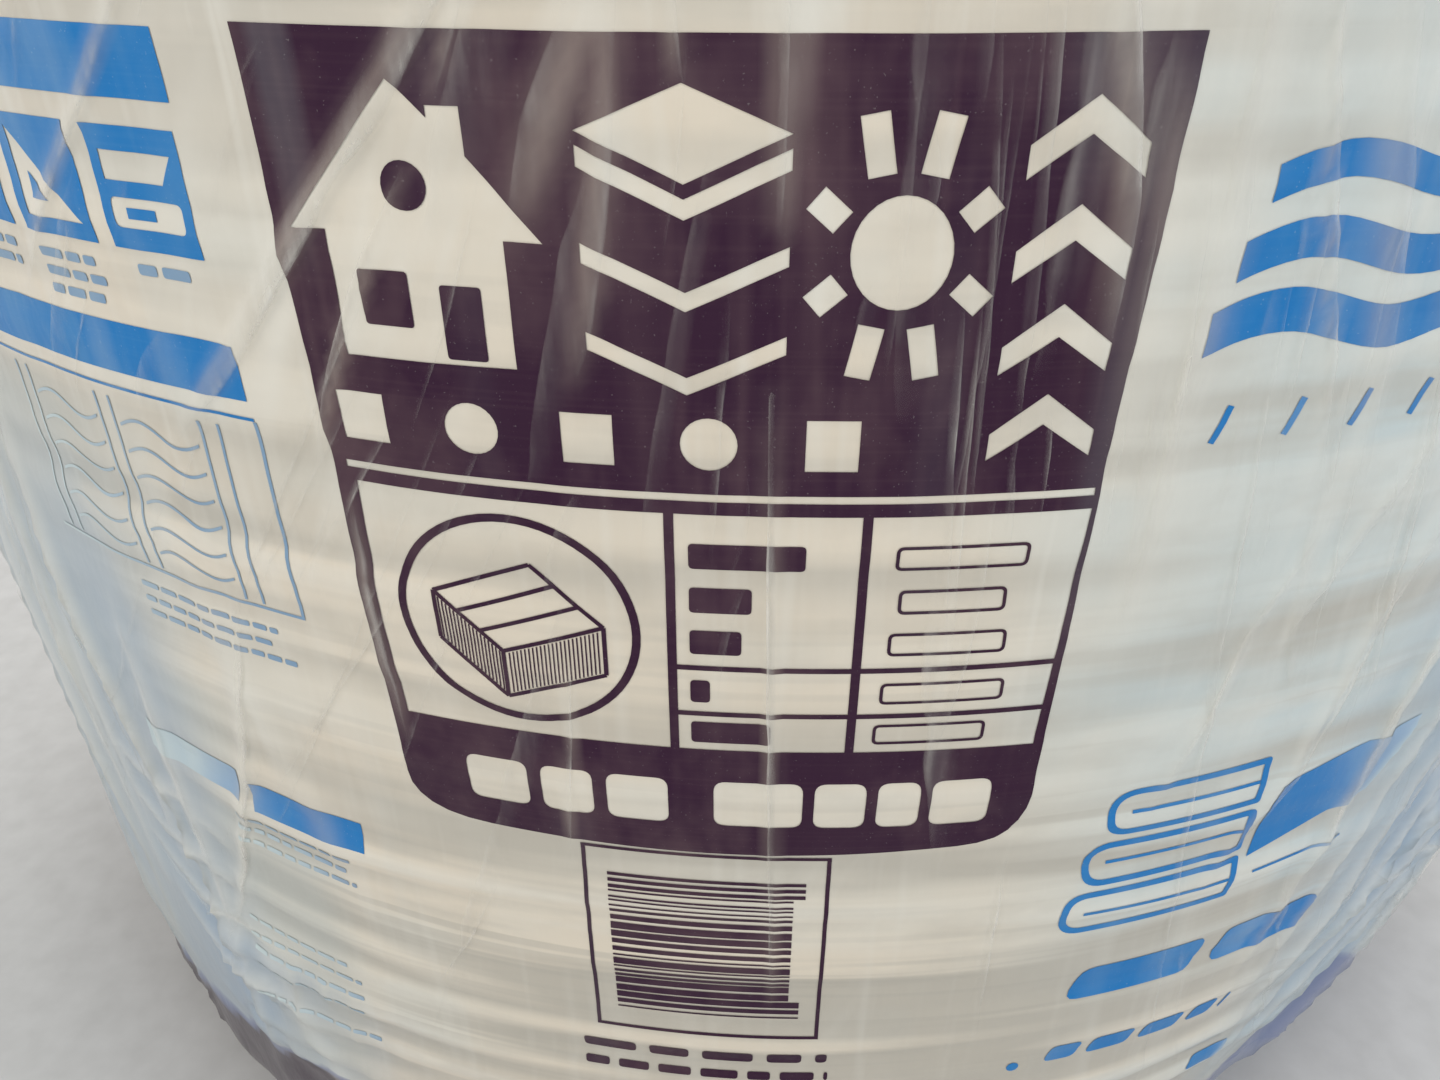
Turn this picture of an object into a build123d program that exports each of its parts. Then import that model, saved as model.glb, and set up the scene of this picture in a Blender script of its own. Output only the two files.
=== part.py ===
from build123d import *
from math import cos, radians, sin
import os

# Driving dimensions, in millimetres

# Wound batt
batt_width = 381.0          # width of the batt, which is the height of the roll on its end
wound_radius = 245.0        # outside of the last turn, held in by the film
eye_radius = 15.0           # open eye that the winding leaves at its centre
eye_lip = 5.0               # bevel where the eye opens on each end
turn_thickness = 34.0       # one turn of batt, squeezed from its full loft
edge_radius = 24.0          # soft corner of the last turn at each end
cleft_width = 11.0          # mouth of the cleft between two turns, on the ends
cleft_depth = 8.0           # depth of that cleft

# Film bag
film_thickness = 0.8        # thicker than real film, so that it is a sound solid
film_slack = 0.3            # room between the film and the wool
mouth_radius = 152.0        # radius of the round mouth that the gathered film leaves
pleat_count = 26            # folds laid round the upper mouth
pleat_width = 24.0          # width of one fold at the mouth
pleat_height = 2.4          # height of one folded-over layer at the mouth
pleat_overhang = 7.0        # how far a fold reaches in past the mouth

# Soft corners are turned in flats, which keeps the model light
corner_flats = 3

# What follows from them
film_offset = film_slack + film_thickness
bag_height = batt_width + 2 * film_offset
half_turn_step = turn_thickness / 2


def end_round(radius, half_height, corner, side):
    """Points of the soft corner at the upper end (side 1) or the lower end (side -1)."""
    centre_x = radius - corner
    centre_z = half_height - corner
    angles = [radians(90 - 90 * index / corner_flats) for index in range(corner_flats + 1)]
    points = [(centre_x + corner * cos(a), side * (centre_z + corner * sin(a))) for a in angles]
    return points if side > 0 else points[::-1]


def drum_outline(radius, half_height, corner):
    """From the upper end, down the side, to the lower end."""
    return end_round(radius, half_height, corner, 1) + end_round(radius, half_height, corner, -1)


def turned(points):
    """A closed outline in the radial plane, turned about the winding axis."""
    section = Plane.XZ * make_face(Polyline(*points, close=True))
    return revolve(section, axis=Axis.Z)


def wound_blank():
    """The wound batt as one turned solid, centred on the middle of its height."""
    half_height = batt_width / 2
    eye_top = [(eye_radius, half_height - eye_lip), (eye_radius + eye_lip, half_height)]
    eye_bottom = [(x, -z) for x, z in reversed(eye_top)]
    return turned(eye_top + drum_outline(wound_radius, half_height, edge_radius) + eye_bottom)


def cleft_half_turn(radius, rear):
    """Half a turn of the V-shaped cleft in the upper end, in front of or behind its centre."""
    proud = 1.0
    top = batt_width / 2 + proud
    bottom = batt_width / 2 - cleft_depth
    half_mouth = cleft_width / 2 * (1 + proud / cleft_depth)
    outline = Polyline((radius - half_mouth, top), (radius, bottom), (radius + half_mouth, top), close=True)
    half = revolve(Plane.XZ * make_face(outline), axis=Axis.Z, revolution_arc=180)
    return half if rear else Rot(0, 0, 180) * half


def spiral_clefts():
    """The edge between the turns: half circles about two centres that join into a spiral."""
    clefts = []
    radius = eye_radius
    rear = False
    while radius < wound_radius:
        centre_x = 0 if rear else half_turn_step
        clefts.append(Pos(centre_x, 0, 0) * cleft_half_turn(radius, rear))
        radius += half_turn_step
        rear = not rear
    return clefts


def insulation_roll():
    upper = spiral_clefts()
    lower = [mirror(cleft, about=Plane.XY) for cleft in upper]
    roll = wound_blank() - upper - lower
    return Pos(0, 0, bag_height / 2) * roll


def film_layer(offset):
    """Outline of the film's surface at this distance outside the wool, from mouth to mouth."""
    half_height = batt_width / 2 + offset
    side = drum_outline(wound_radius + offset, half_height, edge_radius + offset)
    return [(mouth_radius, half_height)] + side + [(mouth_radius, -half_height)]


def film_sleeve():
    """The film as one turned shell: side, soft shoulders and the rings over both ends."""
    sleeve = turned(film_layer(film_offset) + film_layer(film_slack)[::-1])
    return Pos(0, 0, bag_height / 2) * sleeve


def pleat():
    """One knife fold: full height along the mouth's edge, run out to a point at the shoulder."""
    inner_end = mouth_radius - pleat_overhang
    outer_end = wound_radius - edge_radius
    underside = bag_height - film_thickness
    left = (inner_end, -pleat_width / 2, underside)
    right = (inner_end, pleat_width / 2, underside)
    crest = (inner_end, pleat_width / 2, bag_height + pleat_height)
    tip = (outer_end, 0, underside)
    sides = [(left, right, tip), (left, right, crest), (right, tip, crest), (left, tip, crest)]
    return Solid(Shell([make_face(Polyline(*corners, close=True)) for corners in sides]))


def film_bag():
    fold = pleat()
    folds = [Rot(0, 0, 360 / pleat_count * index) * fold for index in range(pleat_count)]
    return film_sleeve() + folds


os.makedirs("parts", exist_ok=True)
export_step(insulation_roll(), "parts/insulation_roll.step")
export_step(film_bag(), "parts/film_bag.step")
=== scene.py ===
import math
import bmesh
import bpy
import numpy as np
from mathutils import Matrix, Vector
from mathutils.geometry import delaunay_2d_cdt


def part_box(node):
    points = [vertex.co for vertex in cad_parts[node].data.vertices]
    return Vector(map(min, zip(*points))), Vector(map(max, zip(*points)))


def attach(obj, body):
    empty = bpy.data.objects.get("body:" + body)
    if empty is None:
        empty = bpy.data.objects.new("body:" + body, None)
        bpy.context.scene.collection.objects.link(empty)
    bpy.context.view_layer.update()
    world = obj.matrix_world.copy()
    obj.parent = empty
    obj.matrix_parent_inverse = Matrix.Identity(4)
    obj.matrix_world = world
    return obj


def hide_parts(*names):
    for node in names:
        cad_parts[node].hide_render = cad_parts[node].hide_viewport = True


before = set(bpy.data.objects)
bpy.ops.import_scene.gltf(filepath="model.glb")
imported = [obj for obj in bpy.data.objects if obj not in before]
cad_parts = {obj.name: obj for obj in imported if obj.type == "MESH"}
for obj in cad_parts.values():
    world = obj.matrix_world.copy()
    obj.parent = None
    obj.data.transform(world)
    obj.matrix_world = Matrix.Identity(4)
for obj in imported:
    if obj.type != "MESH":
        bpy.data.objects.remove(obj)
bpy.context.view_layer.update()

# Sizes from the frame. The shapes below are worked out in millimetres.

MM = 0.001
BAG_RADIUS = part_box("film_bag")[1][0] / MM
WOOL_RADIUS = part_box("insulation_roll")[1][0] / MM
WOOL_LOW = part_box("insulation_roll")[0][2] / MM
WOOL_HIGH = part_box("insulation_roll")[1][2] / MM

# Film: its way round, its lowest and highest place, its round mouths, soft corners and gathers
ROUND = 2 * math.pi * BAG_RADIUS
HALF_ROUND = ROUND / 2
FILM_LOW = 0.5
FILM_HIGH = WOOL_HIGH + 1.0
MOUTH_RADIUS = 152.0
SHOULDER = 27.0
PLEATS = 38
NARROW_PLEATS = 61

# Grid of the film's side: its heights, how far it is fine round from the front, and its step
SIDE_LOW = 58.0
SIDE_HIGH = 316.0
FRONT_REACH = 228.0
GRID_STEP = 2.0

# Winding, as the roll's ends show it
EYE_RADIUS = 15.0
HALF_TURN = 17.0
CLEFT_DEPTH = 8.0
TOP_SEED = 101
BOTTOM_SEED = 131

# Print: how far it lies off the film, and the least area in square mm of a part of it
INK_HEIGHT = 0.12
LEAST_AREA = 1e-5


# Smooth seeded noise

def value_noise(x, y, cells_x, seed):
    """Value noise from -1 to 1, one cell to a unit, that repeats every cells_x along x."""
    rows = 256
    lattice = np.random.default_rng(seed).random((cells_x, rows)) * 2 - 1
    x0 = np.floor(x).astype(int)
    y0 = np.floor(y).astype(int)
    fx = x - x0
    fy = y - y0
    fx = fx * fx * fx * (fx * (6 * fx - 15) + 10)
    fy = fy * fy * fy * (fy * (6 * fy - 15) + 10)
    a = lattice[x0 % cells_x, y0 % rows]
    b = lattice[(x0 + 1) % cells_x, y0 % rows]
    c = lattice[x0 % cells_x, (y0 + 1) % rows]
    d = lattice[(x0 + 1) % cells_x, (y0 + 1) % rows]
    return (a * (1 - fx) + b * fx) * (1 - fy) + (c * (1 - fx) + d * fx) * fy


def film_noise(u, z, size_u, size_z, seed):
    """Noise on the unrolled film, with features of about these sizes in mm."""
    cells = max(2, round(ROUND / size_u))
    whole_turns, rows_ahead = 1000 * cells, 100
    return value_noise(u * cells / ROUND + whole_turns, z / size_z + rows_ahead, cells, seed)


def edge_noise(u, size_u, seed):
    """Noise that changes only round the bag."""
    return film_noise(u, np.zeros_like(u), size_u, 10, seed)


def smooth_step(x, low, high):
    """0 below low and 1 above high, with a soft rise between them."""
    t = np.clip((x - low) / (high - low), 0, 1)
    return t * t * (3 - 2 * t)


def fade_out(x, low, high):
    """1 below low and 0 above high."""
    return 1 - smooth_step(x, low, high)


def bump(x, centre, width):
    """1 at the centre and 0 well away from it."""
    return np.exp(-((x - centre) / width) ** 2)


# Upper edge of the lower end band, which the gathered film pulls askew: (round, up) in mm

LOWER_BAND_EDGE = [
    (-350, 60), (-230, 34), (-200, 33), (-173, 43), (-163, 44), (-146, 49), (-120, 60), (-100, 63), (0, 68),
    (90, 58), (110, 50), (127, 54), (142, 67), (158, 75), (177, 80), (203, 76), (350, 68), (600, 62),
]

# Creases: places (round, up), width, height, and the width and density of the fold that lies along, or 0

CREASES = [
    ([(-34, 320), (-49, 300), (-63, 284), (-83, 260), (-92, 251), (-103, 240)], 1.7, 1.2, 4.2, 0.85),
    ([(-47, 290), (-55, 277), (-63, 262), (-72, 240)], 1.2, 0.7, 2.0, 0.45),
    ([(-33, 320), (-39, 306), (-42, 299)], 1.0, 0.5, 1.6, 0.5),
    ([(-76, 320), (-91, 305), (-100, 295), (-106, 289), (-115, 280), (-131, 262)], 1.4, 0.9, 2.4, 0.7),
    ([(-18, 322), (-23, 306), (-28, 295), (-33, 283)], 2.6, 0.8, 6.0, 0.42),
    ([(-19, 318), (-21, 295), (-24, 274), (-27, 262)], 1.8, 0.8, 3.2, 0.4),
    ([(1, 325), (1, 297), (1, 284)], 1.2, 0.7, 1.6, 0.7),
    ([(4, 322), (3, 301), (2, 282)], 1.0, 0.5, 5.0, 0.3),
    ([(-13, 320), (-12, 306), (-11, 300)], 1.2, 0.5, 1.8, 0.4),
    ([(37, 330), (40, 310), (45, 287), (46, 268)], 1.8, 1.0, 3.2, 0.9),
    ([(55, 330), (59, 309), (60, 293), (60, 240), (58, 214)], 3.4, 0.9, 4.5, 0.45),
    ([(62, 330), (66, 309), (82, 262), (88, 240)], 1.2, 1.0, 2.2, 0.7),
    ([(72, 330), (76, 309), (89, 270), (96, 240)], 3.2, 0.9, 5.5, 0.5),
    ([(84, 330), (90, 309), (104, 270), (112, 240)], 4.0, 1.1, 6.5, 0.5),
    ([(98, 330), (106, 309), (118, 280)], 3.0, 1.2, 4.0, 0.6),
    ([(49, 300), (52, 280), (53, 250)], 2.4, 0.6, 0, 0),
    ([(-31, 214), (-35, 164)], 1.0, 0.5, 1.2, 0.6),
    ([(1, 262), (1, 247), (4, 128)], 1.0, 0.5, 1.5, 0.85),
    ([(-66, 238), (-66, 214), (-64, 190)], 1.6, 0.7, 2.4, 0.4),
    ([(-96, 212), (-110, 161), (-124, 120), (-137, 93)], 2.4, 1.6, 2.6, 0.9),
    ([(92, 232), (84, 214), (80, 196), (74, 176)], 1.3, 0.9, 2.0, 0.4),
    ([(110, 246), (98, 226), (90, 205)], 1.3, 0.8, 1.8, 0.4),
    ([(124, 236), (112, 205), (106, 176), (92, 150)], 1.7, 1.2, 2.4, 0.5),
    ([(150, 226), (132, 190), (124, 150), (112, 112)], 1.8, 1.7, 2.8, 0.6),
    ([(168, 190), (150, 158), (140, 118), (120, 86)], 2.0, 2.4, 3.4, 0.7),
    ([(190, 176), (172, 130), (152, 96), (128, 62)], 2.2, 2.8, 4.0, 0.7),
    ([(206, 160), (196, 120), (176, 84), (150, 50)], 2.4, 3.0, 4.5, 0.7),
    ([(222, 170), (214, 120), (200, 74), (186, 44)], 3.0, 3.2, 0, 0),
    ([(148, 128), (160, 118), (176, 120), (190, 110)], 2.2, 2.0, 2.2, 0.8),
    ([(-140, 196), (-138, 150), (-134, 118), (-132, 84)], 3.0, 1.6, 3.0, 0.5),
    ([(-166, 240), (-160, 190), (-152, 150), (-150, 112)], 3.0, 2.0, 4.0, 0.5),
    ([(-186, 260), (-180, 200), (-176, 150), (-168, 96)], 3.4, 2.2, 4.5, 0.6),
    ([(-204, 250), (-200, 200), (-190, 150), (-184, 100)], 4.0, 2.2, 0, 0),
    ([(-176, 150), (-160, 140), (-140, 142), (-122, 132)], 2.2, 1.6, 0, 0),
    ([(-172, 134), (-154, 122), (-136, 124), (-120, 116)], 2.4, 1.9, 0, 0),
    ([(-168, 116), (-146, 104), (-128, 108), (-110, 104)], 2.2, 2.0, 2.4, 0.6),
    ([(-160, 96), (-140, 86), (-122, 90), (-104, 80)], 2.6, 2.2, 0, 0),
    ([(216, 152), (206, 108), (189, 76), (168, 50)], 1.7, 2.0, 0, 0),
    ([(180, 186), (160, 144), (146, 108), (126, 74)], 1.6, 1.8, 0, 0),
    ([(160, 214), (144, 176), (134, 140), (118, 100)], 1.6, 1.4, 0, 0),
]

# Section of a fold that lies over, as shares: (across, height, how dense it looks: doubled film with a
# painted highlight near one edge)

FOLD_SECTION = [
    (-0.5, 0.0, 0.0), (-0.2, 0.12, 0.20), (0.15, 0.30, 0.42), (0.38, 0.42, 1.0), (0.47, 0.25, 0.75),
    (0.5, 0.0, 0.0),
]

# How far the fine folds lean for each mm that they drop, at places round from the front

FINE_LEAN = [(-150, 0.75), (-60, 0.65), (-20, 0.3), (10, 0.0), (55, -0.05), (120, -0.25), (200, 0.5)]


def scattered_creases():
    """Short upright creases all round, clear of the printed front."""
    draw = np.random.default_rng(41)
    lines = []
    for _ in range(150):
        u = draw.uniform(110, ROUND - 110)
        z = draw.uniform(60, 350)
        length = draw.uniform(25, 120)
        slant = draw.uniform(-0.35, 0.35)
        bend = draw.uniform(-6, 6)
        middle = (u + slant * length / 2 + bend, z - length / 2)
        points = [(u, z), middle, (u + slant * length, z - length)]
        lines.append((points, draw.uniform(1.6, 4.5), draw.uniform(0.5, 1.9)))
    return lines


def wrap_round(u):
    """The same place, as its shorter way round from the front."""
    return (u + HALF_ROUND) % ROUND - HALF_ROUND


def nearest_on_path(u, z, points):
    """How far places are from a path, and how far along it the nearest point lies."""
    best = np.full_like(u, 1e9)
    along = np.zeros_like(u)
    run = 0.0
    for (u0, z0), (u1, z1) in zip(points, points[1:]):
        du, dz = u1 - u0, z1 - z0
        length = math.hypot(du, dz)
        t = np.clip(((u - u0) * du + (z - z0) * dz) / length**2, 0, 1)
        away = np.hypot(u - u0 - t * du, z - z0 - t * dz)
        closer = away < best
        best = np.where(closer, away, best)
        along = np.where(closer, run + t * length, along)
        run += length
    return best, along


def crease_relief(u, z, creases):
    """Height of the creases in mm, and how plainly each place is creased, from 0 to 1."""
    height = np.zeros_like(u)
    mark = np.zeros_like(u)
    for points, width, tall in creases:
        reach = 3 * width
        us = [p[0] for p in points]
        zs = [p[1] for p in points]
        middle = (min(us) + max(us)) / 2
        local = wrap_round(u - middle) + middle
        near = (local > min(us) - reach) & (local < max(us) + reach)
        near &= (z > min(zs) - reach) & (z < max(zs) + reach)
        if not near.any():
            continue
        away, along = nearest_on_path(local[near], z[near], points)
        total = sum(math.dist(a, b) for a, b in zip(points, points[1:]))
        fade = np.sin(math.pi * np.clip(along / total, 0.02, 0.98)) ** 0.5
        shape = np.exp(-((away / width) ** 2)) * fade
        height[near] = np.maximum(height[near], 0.75 * tall * shape)
        mark[near] = np.maximum(mark[near], shape * min(1.0, 0.35 + 0.35 * tall))
    return height, mark


# The film's surface, as a grid of columns round the bag and rows along its profile

def zone_rows(zone, count):
    """Evenly spaced rows of a zone, without the one where the next zone starts."""
    return [(zone, t) for t in np.linspace(0, 1, count, endpoint=False)]


def film_rows():
    """Rows from mouth to mouth: a zone and how far through it, or on the side the height in mm."""
    rows = [("lower_lip", 1.0), ("lower_lip", 0.5)]
    rows += zone_rows("lower_ring", 12) + zone_rows("lower_round", 11) + zone_rows("lower_side", 7)
    rows += [("side", z) for z in np.arange(SIDE_LOW, SIDE_HIGH - 0.01, GRID_STEP)]
    rows += zone_rows("upper_side", 7) + zone_rows("upper_round", 11)
    rows += [("upper_ring", t) for t in np.linspace(0, 1, 16)]
    rows += [("upper_lip", 0.5), ("upper_lip", 1.0)]
    return rows


def film_columns():
    """Columns round the bag, closer together at the front."""
    front = np.arange(-FRONT_REACH, FRONT_REACH + 0.01, GRID_STEP)
    back = np.linspace(front[-1], ROUND + front[0], 260)[1:-1]
    return np.concatenate([front, back])


def slack(u):
    """1 at the right front, where the film hangs slack over a softer lower corner, else 0."""
    local = wrap_round(u)
    return smooth_step(local, 65, 140) * fade_out(local, 225, 300)


def slack_inset(u, z):
    """How far the bag draws in above its softer lower corner, in mm."""
    return 7.5 * slack(u) * fade_out(z, 30, 118)


def lower_shoulder(u):
    """How far the bag's soft lower corner reaches up and in, in mm."""
    plain = SHOULDER - 3 * bump(wrap_round(u), -150, 60) + 2.5 * edge_noise(u, 110, 6)
    return plain + 25 * slack(u), plain + 40 * slack(u)


def upper_shoulder(u):
    """How far the bag's soft upper corner reaches down and in, in mm."""
    return SHOULDER + 4 * edge_noise(u, 120, 5)


def ripple_field(u, z):
    """Soft level ripples, as the wound batt's own unevenness lifts the film."""
    bent = z + 3 * film_noise(u, z, 90, 40, 10)
    broad = film_noise(u, bent, 110, 6.2, 11)
    return 0.62 * broad + 0.24 * film_noise(u, bent, 60, 3.4, 12) + 0.24 * film_noise(u, bent, 160, 15, 17)


def ridges(u, z, size_u, size_z, seed):
    """Sharp crests, 1 at their tops and down to 0 between them."""
    return 1 - np.abs(film_noise(u, z, size_u, size_z, seed))


def loose_folds(u, z):
    """Height in mm of the slack folds at the lower right and the crumples at the lower left, and
    how loose the film looks there, from 0 to 1: its grey, with painted shade between the folds."""
    local = wrap_round(u)
    right = smooth_step(local, 108, 165) * fade_out(local, 250, 320)
    right *= fade_out(z, 170, 240) * smooth_step(z, 28, 60)
    along = u - 0.73 * (z - 60)
    deep = ridges(along, z, 24, 130, 71)
    small = ridges(along, z, 10, 60, 72)
    left = fade_out(local, -142, -112) * smooth_step(local, -300, -240)
    left *= fade_out(z, 190, 250)
    upright = ridges(u + 0.25 * (z - 60), z, 15, 120, 73)
    tuck = bump(local, -122, 30) * smooth_step(z, 52, 62) * fade_out(z, 98, 106)
    crumple = ridges(u, z, 9, 11, 74)
    tall_left = 2.0 - 0.9 * smooth_step(-local, 150, 180)
    height = right * (3.2 * deep**4 + 1.0 * small**4)
    height = height + left * tall_left * upright**4 + tuck * (1.5 + 1.6 * crumple**2)
    # Grey of the loose film, with painted shade between the folds and less on their crests
    mark = right * (1 - 0.55 * deep**5 - 0.2 * small**5)
    mark = mark + left * (0.66 - 0.50 * upright**4) + tuck * (0.50 - 0.3 * crumple**2)
    return height, np.clip(mark, 0, 1)


def film_coolness(u, z):
    """0 where the film looks warm and 1 where it looks cool: mostly at the sides, and in patches."""
    local = wrap_round(u)
    right = smooth_step(local, 20, 80) * smooth_step(z, 90, 190) + smooth_step(local, 96, 150)
    right = np.minimum(right, 1) * fade_out(local, 300, 400)
    left = smooth_step(-local, 120, 200) * fade_out(-local, 300, 400)
    patches = smooth_step(film_noise(u, z, 70, 26, 91), 0.0, 0.7)
    patches = patches + smooth_step(film_noise(u, z, 24, 12, 92), 0.1, 0.8)
    warm = 1 - 0.65 * bump(local, -25, 100)
    return np.clip((0.10 + 0.86 * right + 0.40 * left + 0.32 * patches) * warm, 0, 1)


def film_milk(u, z):
    """How much of the print is lost behind loose and doubled film, from 0 to 1."""
    local = wrap_round(u)
    front = fade_out(np.abs(local), 280, 360)
    ragged = 12 * film_noise(u, z, 30, 24, 93)
    left = smooth_step(-local + ragged, 92, 146) * fade_out(z, 238, 252) * front
    low_left = smooth_step(-local, 84, 100) * fade_out(z, 142, 152) * front
    right = smooth_step(local + 0.3 * (z - 120), 126, 165) * fade_out(z, 185, 215) * front
    upright = 0.16 * smooth_step(film_noise(u, z, 8, 80, 94), 0.2, 0.8) * (1 - bump(local, -8, 70))
    leaning = film_noise(u - 0.6 * (z - 100), z, 6, 110, 95)
    slanted = smooth_step(leaning, 0.05, 0.4) * smooth_step(local, 98, 122)
    slanted *= fade_out(local, 230, 290) * fade_out(z, 180, 220)
    return np.clip(0.94 * left + 0.62 * low_left + 0.72 * right + upright + 0.42 * slanted, 0, 0.97)


def calm(u, z):
    """1 where loose film bridges the batt's ripples, low down at both sides, and 0 elsewhere."""
    away = np.abs(wrap_round(u))
    return smooth_step(away, 116, 152) * fade_out(away, 290, 360) * fade_out(z, 170, 250)


def side_lift(u, z, creases):
    """How far the film stands off the drum on its side, in mm, and its crease, ripple and loose marks; the
    ripple mark carries painted shade and highlight, the loose mark the grey of loose film with painted shade
    between its folds.
    """
    local = wrap_round(u)
    label = bump(local, -8, 66) * smooth_step(z, 150, 200)
    busy = 1 - 0.62 * label + 0.35 * fade_out(z, 140, 200)
    busy *= 1 - 0.85 * calm(u, z)
    ripple = ripple_field(u, z)
    streaks = film_noise(u, z, 7, 90, 13) * 0.30 * smooth_step(z, 200, 290)
    swells = film_noise(u, z, 120, 90, 14) * 0.9
    left = bump(local, -222, 42) * smooth_step(z, 30, 70) * fade_out(z, 170, 230)
    right = bump(local, 205, 45) * smooth_step(z, 90, 140) * fade_out(z, 180, 250)
    slump = film_noise(u, z, 46, 16, 15) * 1.2 * fade_out(z, 70, 130) * (1 - 0.75 * calm(u, z))
    creased, mark = crease_relief(u, z, creases)
    folded, loose = loose_folds(u, z)
    lift = 1.0 + busy * (0.75 * ripple + swells) + streaks + 3.6 * left + 6.0 * right
    lift = lift + slump + creased + folded
    table = bump(local, -8, 60) * smooth_step(z, 188, 200) * fade_out(z, 240, 250)
    return np.maximum(lift, -0.3), mark, ripple * busy - 0.18 * table, loose


def end_band(u, level):
    """1 in the two printed end bands, 0 outside them, with soft edges a few mm wide."""
    places, heights = zip(*LOWER_BAND_EDGE)
    lower_edge = np.interp(wrap_round(u), places, heights, period=ROUND)
    lower_edge = lower_edge + 2.0 * edge_noise(u, 40, 51) + 1.2 * edge_noise(u, 12, 52)
    upper_edge = 312.0 - 0.8 * smooth_step(wrap_round(u), -10, 60) + 0.5 * edge_noise(u, 60, 53)
    lower = fade_out(level, lower_edge - 1.3, lower_edge + 1.3)
    upper = smooth_step(level, upper_edge - 1.3, upper_edge + 1.3)
    strip = 6 + 1.5 * edge_noise(u, 60, 54)
    lower = lower * smooth_step(level, strip - 1.5, strip + 1.5) * (1 - 0.50 * slack(u))
    upper = upper * fade_out(level, FILM_HIGH - strip - 1.5, FILM_HIGH - strip + 1.5)
    return np.maximum(lower, upper)


def film_profile(rows, u):
    """The bag's smooth section, row by row and all round: the radius and height in mm, which way is
    out, how gathered the film is, and how far its mouths curl up in mm and tuck in as a share."""
    (low_up, low_in), high_round = lower_shoulder(u), upper_shoulder(u)
    low_mouth = MOUTH_RADIUS + 5 * edge_noise(u, 45, 32)
    high_mouth = MOUTH_RADIUS + 5 * edge_noise(u, 45, 31)
    mouth_curl = 1.2 + 1.6 * edge_noise(u, 38, 33)
    profile = np.zeros((7, len(rows), len(u)))
    radius, level, out_r, out_z, gather, curl, tuck = profile
    for i, (zone, t) in enumerate(rows):
        turn = t * math.pi / 2
        if zone in ("lower_lip", "upper_lip"):
            low = zone == "lower_lip"
            radius[i] = (low_mouth if low else high_mouth) - 1.6 * t
            level[i], out_z[i] = (FILM_LOW, 0.25) if low else (FILM_HIGH, 1)
            gather[i], tuck[i] = 1, t
            curl[i] = 0 if low else mouth_curl
        elif zone == "lower_ring":
            radius[i] = low_mouth + (BAG_RADIUS - low_in - low_mouth) * t
            level[i], out_r[i], out_z[i], gather[i] = FILM_LOW, 0, 0.25, 1 - 0.35 * t
        elif zone == "lower_round":
            radius[i] = BAG_RADIUS - low_in + low_in * math.sin(turn)
            level[i] = FILM_LOW + low_up * (1 - math.cos(turn))
            out_r[i], out_z[i] = math.sin(turn), -math.cos(turn) * smooth_step(t, 0.2, 0.7)
            gather[i] = 0.65 - 0.35 * t
        elif zone == "lower_side":
            radius[i], out_r[i], gather[i] = BAG_RADIUS, 1, 0.30 - 0.24 * t
            level[i] = FILM_LOW + low_up + (SIDE_LOW - FILM_LOW - low_up) * t
        elif zone == "side":
            radius[i], level[i], out_r[i] = BAG_RADIUS, t, 1
            gather[i] = 0.06 * fade_out(t, 58, 90) + 0.06 * smooth_step(t, 295, 316)
        elif zone == "upper_side":
            radius[i], out_r[i], gather[i] = BAG_RADIUS, 1, 0.06 + 0.20 * t
            level[i] = SIDE_HIGH + (FILM_HIGH - high_round - SIDE_HIGH) * t
        elif zone == "upper_round":
            radius[i] = BAG_RADIUS - high_round + high_round * math.cos(turn)
            level[i] = FILM_HIGH - high_round + high_round * math.sin(turn)
            out_r[i], out_z[i], gather[i] = math.cos(turn), math.sin(turn), 0.26 + 0.4 * t
        else:
            radius[i] = BAG_RADIUS - high_round + (high_mouth - BAG_RADIUS + high_round) * t
            level[i], out_z[i], gather[i] = FILM_HIGH, 1, 0.66 + 0.34 * t
            curl[i] = smooth_step(t, 0.8, 1.0) * mouth_curl
    return profile


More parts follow.
